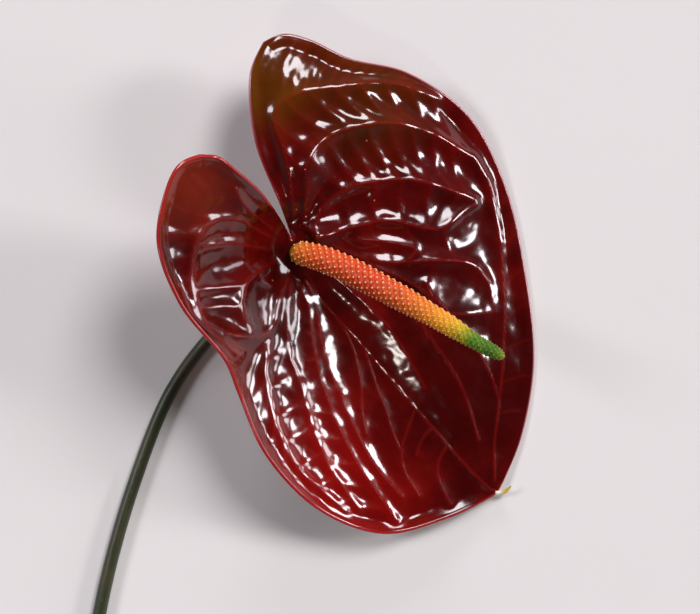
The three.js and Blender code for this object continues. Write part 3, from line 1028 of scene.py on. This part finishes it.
def flower_tree():
    """Geometry nodes: a spiral of flowers standing out from a path that carries its radius."""
    tree = bpy.data.node_groups.new("spadix_flowers", "GeometryNodeTree")
    add_socket = tree.interface.new_socket
    add_socket("Path", in_out="INPUT", socket_type="NodeSocketGeometry")
    for label, kind in (("Flower", "Object"), ("Count", "Int"), ("Turn", "Float"),
                        ("First", "Float"), ("Seed", "Int"), ("Finish", "Material")):
        add_socket(label, in_out="INPUT", socket_type="NodeSocket" + kind)
    add_socket("Flowers", in_out="OUTPUT", socket_type="NodeSocketGeometry")
    given = tree.nodes.new("NodeGroupInput").outputs
    nodes = Shades(tree)
    curve = nodes.add("GeometryNodeMeshToCurve", {"Mesh": given["Path"]})
    points = nodes.add("GeometryNodePoints", {"Count": given["Count"]})
    number = nodes.add("GeometryNodeInputIndex")
    share = nodes.math("DIVIDE", nodes.math("ADD", number, 0.5), given["Count"])
    share = nodes.add("ShaderNodeMapRange", {0: share, 3: given["First"], 4: LAST_FLOWER})
    radius = nodes.add("GeometryNodeInputNamedAttribute", {"Name": "radius"}, data_type="FLOAT")

    def sample(factor):
        node = tree.nodes.new("GeometryNodeSampleCurve")
        node.mode = "FACTOR"
        node.use_all_curves = True
        node.data_type = "FLOAT"
        nodes.feed(node.inputs["Curves"], curve)
        nodes.feed(node.inputs["Value"], radius)
        nodes.feed(node.inputs["Factor"], factor)
        return {key: node.outputs[key] for key in ("Value", "Position", "Tangent", "Normal")}

    def vector(operation, first, second=None, scale=None, output=0):
        inputs = {0: first}
        if second is not None:
            inputs[1] = second
        if scale is not None:
            inputs["Scale"] = scale
        return nodes.add("ShaderNodeVectorMath", inputs, output, operation=operation)

    here = sample(share)
    ahead = sample(nodes.math("ADD", share, LOOK_AHEAD))
    step = vector("LENGTH", vector("SUBTRACT", ahead["Position"], here["Position"]), output=1)
    drop = nodes.math("SUBTRACT", here["Value"], ahead["Value"])
    slope = nodes.math("DIVIDE", drop, nodes.math("MAXIMUM", step, 1e-5))
    slope = nodes.math("MINIMUM", slope, STEEPEST)
    outward = nodes.add(
        "ShaderNodeVectorRotate",
        {"Vector": here["Normal"], "Axis": here["Tangent"],
         "Angle": nodes.times(number, given["Turn"])}, rotation_type="AXIS_ANGLE")
    position = vector("ADD", here["Position"], vector("SCALE", outward, scale=here["Value"]))
    axis = vector("ADD", outward, vector("SCALE", here["Tangent"], scale=slope))
    placed = nodes.add("GeometryNodeSetPosition", {"Geometry": points, "Position": position})
    stored = nodes.add(
        "GeometryNodeStoreNamedAttribute", {"Geometry": placed, "Name": "share", "Value": share},
        data_type="FLOAT", domain="POINT")
    upright = nodes.add("FunctionNodeAlignRotationToVector", {"Vector": axis}, axis="Z")
    squared = nodes.add(
        "FunctionNodeAlignRotationToVector", {"Rotation": upright, "Vector": here["Tangent"]},
        axis="X", pivot_axis="Z")
    size = nodes.add(
        "FunctionNodeRandomValue",
        {2: FLOWER_SCALES[0], 3: FLOWER_SCALES[1], "ID": number, "Seed": given["Seed"]}, 1,
        data_type="FLOAT")
    width = nodes.math("POWER", nodes.math("DIVIDE", here["Value"], FULL_FLOWER_RADIUS), 0.5)
    size = nodes.times(size, nodes.math("MAXIMUM", width, LEAST_FLOWER))
    flower = nodes.add("GeometryNodeObjectInfo", {"Object": given["Flower"]}, "Geometry")
    copies = nodes.add(
        "GeometryNodeInstanceOnPoints",
        {"Points": stored, "Instance": flower, "Rotation": squared, "Scale": size})
    whole = nodes.add("GeometryNodeRealizeInstances", {"Geometry": copies})
    finished = nodes.add(
        "GeometryNodeSetMaterial", {"Geometry": whole, "Material": given["Finish"]})
    nodes.feed(tree.nodes.new("NodeGroupOutput").inputs["Flowers"], finished)
    return tree


def grown(name, source, tree, inputs):
    """Runs a geometry node tree on a helper mesh and returns the result as a plain piece."""
    modifier = source.modifiers.new("growth", "NODES")
    modifier.node_group = tree
    for item in tree.interface.items_tree:
        if item.in_out == "INPUT" and item.name in inputs:
            modifier[item.identifier] = inputs[item.name]
    bpy.context.view_layer.update()
    evaluated = source.evaluated_get(bpy.context.evaluated_depsgraph_get())
    mesh = bpy.data.meshes.new_from_object(evaluated)
    source.modifiers.remove(modifier)
    bpy.data.objects.remove(source)
    for polygon in mesh.polygons:
        polygon.use_smooth = True
    mesh.name = name
    piece = bpy.data.objects.new(name, mesh)
    bpy.context.scene.collection.objects.link(piece)
    return piece


class AnthuriumMakeSpadix(bpy.types.Operator):
    """Make the fleshy spadix and its spiral of small flowers"""

    bl_idname = "anthurium.make_spadix"
    bl_label = "Spadix"

    def execute(self, context):
        settings = context.scene.anthurium_spadix
        shares = (1 - np.cos(np.linspace(0, math.pi, SPADIX_RINGS))) / 2
        path, radii = spadix_path(settings, shares)
        points, faces, ring = tube(path, np.maximum(radii, LEAST_RADIUS), SPADIX_SIDES)
        along = np.interp(ring, np.linspace(0, 1, len(shares)), shares)
        core = new_piece("spadix_core", points, faces, {"share": along})
        core.data.materials.append(spadix_material(settings, "spadix_flesh", False))

        shares = np.linspace(0, 1, PATH_POINTS)
        path, radii = spadix_path(settings, shares)
        wire = bpy.data.meshes.new("spadix_path")
        wire.from_pydata(path, [(n, n + 1) for n in range(len(path) - 1)], [])
        wire.attributes.new("radius", "FLOAT", "POINT").data.foreach_set("value", radii)
        source = bpy.data.objects.new("spadix_path", wire)
        context.scene.collection.objects.link(source)
        mould = flower_mould(settings.flower_size)
        finish = spadix_material(settings, "spadix_beads", True)
        flowers = grown("spadix_flowers", source, flower_tree(), {
            "Flower": mould, "Count": settings.flower_count, "Turn": GOLDEN_TURN,
            "First": FIRST_FLOWER, "Seed": settings.seed, "Finish": finish})
        bpy.data.objects.remove(mould)
        for piece in (core, flowers):
            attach(piece, BODY)
            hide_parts("spadix")
        return {"FINISHED"}


# ---------------------------------------------------------------- stem


STEM_RINGS = 260
STEM_SIDES = 40
RING_CROWDING = 1.4  # above 1, rings stand closer together near the flower
STEM_TOP = -1.0  # height of the stem's upper end, in millimetres from the attachment
NECK_SWELLING = 0.35  # extra share of the radius where the stem meets the spathe
NECK_LENGTH = 7
SWELLING = 0.012  # greatest slow change of the radius along the stem, as a share of it
SWELLING_COUNT = 40
CUT_SLANT = -0.35  # lean of the cut end, per unit of height across it
STEM_STREAK = tone(0x2E3A12)
STEM_AGEING = tone(0x5A3A22)
STEM_FLECK = tone(0x7E4430)
STEM_NECK = tone(0x6A2A1A)
STEM_BUNDLE = tone(0x8E9A58)
# Rings that close the upper end and the cut end, as shares of the end radius.
CAP_SHARES = ((0.0, 0.5, 0.8, 0.95), (0.0, 0.25, 0.5, 0.75, 0.93))


def stem_material(settings):
    """Green skin with long streaks and brown flecks, and pale flesh on the cut end."""
    material, shades, shader = new_material(
        "stem_skin", coat_weight=0.3, coat_roughness=0.3, ior=1.45)
    place = shades.place()
    share = shades.attribute("share")
    cut = shades.attribute("cut")
    around = shades.attribute("around")
    streaks = shades.add(
        "ShaderNodeCombineXYZ", {0: shades.times(around, 30.0), 1: shades.times(share, 14.0)})
    streak = shades.noise(streaks, 1.0, 4.0, 0.6)
    colour = shades.blend(shades.spread(streak, 0.3, 0.75), settings.skin[:], STEM_STREAK)
    ageing = shades.spread(shades.noise(place, 38.0, 3.0), 0.5, 0.8)
    colour = shades.tint(colour, ageing, 0.4, STEM_AGEING)
    flecks = shades.add("ShaderNodeTexVoronoi", {"Vector": place, "Scale": 420.0})
    fleck = shades.spread(flecks, 0.08, 0.2, 1.0, 0.0)
    patchy = shades.spread(shades.noise(place, 60.0), 0.5, 0.7)
    fleck = shades.times(fleck, patchy)
    colour = shades.tint(colour, fleck, 0.75, STEM_FLECK)
    neck = shades.spread(share, 0.0, 0.03, 0.6, 0.0)
    colour = shades.blend(neck, colour, STEM_NECK)
    bundles = shades.add("ShaderNodeTexVoronoi", {"Vector": place, "Scale": 1500.0})
    bundle = shades.spread(bundles, 0.15, 0.4, 1.0, 0.0)
    flesh = shades.blend(bundle, settings.flesh[:], STEM_BUNDLE)
    colour = shades.blend(cut, colour, flesh)
    shades.feed(shader.inputs["Base Color"], colour)
    shades.feed(shader.inputs["Roughness"], shades.spread(streak, 0.2, 0.8, 0.32, 0.5))
    height = shades.math("ADD", streak, shades.times(shades.noise(place, 900.0), 0.3))
    shades.feed(shader.inputs["Normal"], shades.bump(height, 0.15 * MM))
    return material


class AnthuriumMakeStem(bpy.types.Operator):
    """Make the stem from the back of the spathe to its cut end"""

    bl_idname = "anthurium.make_stem"
    bl_label = "Stem"

    def execute(self, context):
        settings = context.scene.anthurium_stem
        width = settings.diameter / MM / 2
        low = -ATTACHMENT[2] / MM + width * (1 + settings.taper / 2)
        route = [(x, y, low + (STEM_TOP - low) * height) for x, y, height in STEM_ROUTE]
        rest = settings.length / MM - curve_length(route)
        dx, dy = STEM_FREE_DIRECTION
        x, y, z = route[-1]
        route += [(x + dx * rest * part, y + dy * rest * part, z) for part in (0.5, 1)]
        shares = np.linspace(0, 1, STEM_RINGS) ** RING_CROWDING
        path = curve_points(route, shares)
        radii = width * (1 + settings.taper * (shares - 0.5))
        from_top = shares * settings.length / MM
        radii *= 1 + NECK_SWELLING * (1 - smoothstep(from_top, 0, NECK_LENGTH))
        swelling = [noise.noise(Vector((share * SWELLING_COUNT, 5, 0))) for share in shares]
        radii *= 1 + SWELLING * np.array(swelling)
        points, faces, ring = tube(path, radii, STEM_SIDES, CAP_SHARES)
        along = np.interp(ring, np.linspace(0, 1, len(shares)), shares)
        one_turn = np.abs(np.linspace(-1, 1, STEM_SIDES, endpoint=False))
        around = np.tile(one_turn, len(points) // STEM_SIDES)
        cut_points = STEM_SIDES * (len(CAP_SHARES[1]) + 1)
        cut = np.zeros(len(points))
        cut[-cut_points:] = 1
        slant = np.zeros_like(points)
        end = points[-cut_points:]
        slant[-cut_points:] = np.outer((end[:, 2] - end[:, 2].mean()) * CUT_SLANT, (dx, dy, 0))
        placed = (points + slant) * MM + ATTACHMENT
        placed[:, 2] = np.maximum(placed[:, 2], 0)
        piece = new_piece(
            "stem_stalk", placed, faces, {"share": along, "around": around, "cut": cut})
        piece.data.materials.append(stem_material(settings))
        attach(piece, BODY)
        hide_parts("stem")
        return {"FINISHED"}


# ---------------------------------------------------------------- stage


# Name, azimuth from +X, elevation and width of each softbox in degrees, its light, its colour.
SOFTBOXES = (
    ("key_back", 52, 52, 20, 1.9, 0xFFFAFF),
    ("key_right", 10, 28, 12, 1.1, 0xFFFAFF),
    ("rim_left", 166, 44, 16, 1.0, 0xF8F4FF),
    ("rim_top", 95, 20, 15, 0.9, 0xF8F4FF),
    ("low_right", 2, 12, 13, 0.6, 0xFFFAFF),
    ("front_spot", -108, 57, 5, 0.2, 0xFFF6EE),
)
CAMERA_SIDE = (19.44 * MM, -21.24 * MM)  # sideways from above the attachment
FLOOR_REACH = 12.0  # half of the floor's width, in metres
FLOOR_MOTTLE = tone(0xC8C4BE)
HORIZON = (0.13, 0.13, 0.14)
ZENITH = (0.015, 0.014, 0.017)


class AnthuriumMakeStage(bpy.types.Operator):
    """Make the floor, the softboxes, the dim room and the camera looking straight down"""

    bl_idname = "anthurium.make_stage"
    bl_label = "Stage"

    def execute(self, context):
        settings = context.scene.anthurium_stage
        self.make_floor(settings)
        self.make_lights(settings)
        self.make_room(context)
        self.make_camera(context, settings)
        return {"FINISHED"}

    def make_floor(self, settings):
        """A wide matt floor at height zero."""
        corners = [
            (x * FLOOR_REACH, y * FLOOR_REACH, 0) for x, y in ((-1, -1), (1, -1), (1, 1), (-1, 1))]
        floor = new_piece("floor", corners, [(0, 1, 2, 3)], {})
        material, shades, shader = new_material("floor_paper", roughness=0.75)
        mottle = shades.noise(shades.place(), 8.0, 4.0)
        shade = shades.spread(mottle, 0.2, 0.8, 0.0, 0.06)
        colour = shades.blend(shade, settings.floor[:], FLOOR_MOTTLE)
        shades.feed(shader.inputs["Base Color"], colour)
        floor.data.materials.append(material)

    def make_lights(self, settings):
        """Suns as wide as a softbox looks from the flower, so that the floor is lit evenly."""
        for name, azimuth, elevation, width, strength, code in SOFTBOXES:
            light = bpy.data.lights.new(name, "SUN")
            light.angle = math.radians(width)
            light.energy = strength * settings.brightness
            light.color = tone(code)
            turn, rise = math.radians(azimuth), math.radians(elevation)
            direction = Vector((
                math.cos(rise) * math.cos(turn), math.cos(rise) * math.sin(turn), math.sin(rise)))
            softbox = bpy.data.objects.new(name, light)
            softbox.location = Vector(ATTACHMENT) + direction
            softbox.rotation_euler = direction.to_track_quat("Z", "Y").to_euler()
            bpy.context.scene.collection.objects.link(softbox)

    def make_room(self, context):
        """A dim sky that gets darker towards the top."""
        room = bpy.data.worlds.new("room")
        room.use_nodes = True
        room.node_tree.nodes.clear()
        shades = Shades(room.node_tree)
        direction = shades.add("ShaderNodeTexCoord", output="Generated")
        height = shades.add("ShaderNodeSeparateXYZ", {0: direction}, 2)
        colour = shades.blend(shades.spread(height, 0.05, 0.8), HORIZON, ZENITH)
        light = shades.add("ShaderNodeBackground", {"Color": colour, "Strength": 1.0})
        output = room.node_tree.nodes.new("ShaderNodeOutputWorld")
        room.node_tree.links.new(light, output.inputs[0])
        context.scene.world = room

    def make_camera(self, context, settings):
        """A camera beside the attachment that looks straight down."""
        data = bpy.data.cameras.new("camera")
        data.lens = settings.lens
        data.sensor_width = 36
        data.clip_start = 0.01
        camera = bpy.data.objects.new("camera", data)
        side = Vector((*CAMERA_SIDE, settings.height))
        camera.location = Vector(ATTACHMENT) + side
        context.scene.collection.objects.link(camera)
        context.scene.camera = camera
        context.scene.view_settings.view_transform = "Standard"


# ---------------------------------------------------------------- add-on


PIECE_OPERATORS = (
    AnthuriumMakeStage, AnthuriumMakeSpathe, AnthuriumMakeTip, AnthuriumMakeSpadix,
    AnthuriumMakeStem,
)
SETTINGS = {
    "anthurium_spathe": AnthuriumSpatheSettings,
    "anthurium_spadix": AnthuriumSpadixSettings,
    "anthurium_stem": AnthuriumStemSettings,
    "anthurium_stage": AnthuriumStageSettings,
}


class AnthuriumPanel(bpy.types.Panel):
    """Buttons and settings for each piece of the flower"""

    bl_idname = "VIEW3D_PT_anthurium"
    bl_label = "Cut Anthurium"
    bl_space_type = "VIEW_3D"
    bl_region_type = "UI"
    bl_category = "Anthurium"

    def draw(self, context):
        for operator in PIECE_OPERATORS:
            self.layout.operator(operator.bl_idname)
        for name, kind in SETTINGS.items():
            box = self.layout.box()
            box.label(text=kind.__doc__)
            for field in kind.__annotations__:
                box.prop(getattr(context.scene, name), field)


def register():
    """Makes the settings, the buttons and the panel known."""
    for kind in (*SETTINGS.values(), *PIECE_OPERATORS, AnthuriumPanel):
        bpy.utils.register_class(kind)
    for name, kind in SETTINGS.items():
        setattr(bpy.types.Scene, name, bpy.props.PointerProperty(type=kind))


def unregister():
    """Takes back what register did."""
    for name in SETTINGS:
        delattr(bpy.types.Scene, name)
    for kind in (AnthuriumPanel, *reversed(PIECE_OPERATORS), *reversed(SETTINGS.values())):
        bpy.utils.unregister_class(kind)


def main():
    register()
    for operator in PIECE_OPERATORS:
        family, action = operator.bl_idname.split(".")
        getattr(getattr(bpy.ops, family), action)()


if __name__ == "__main__":
    main()
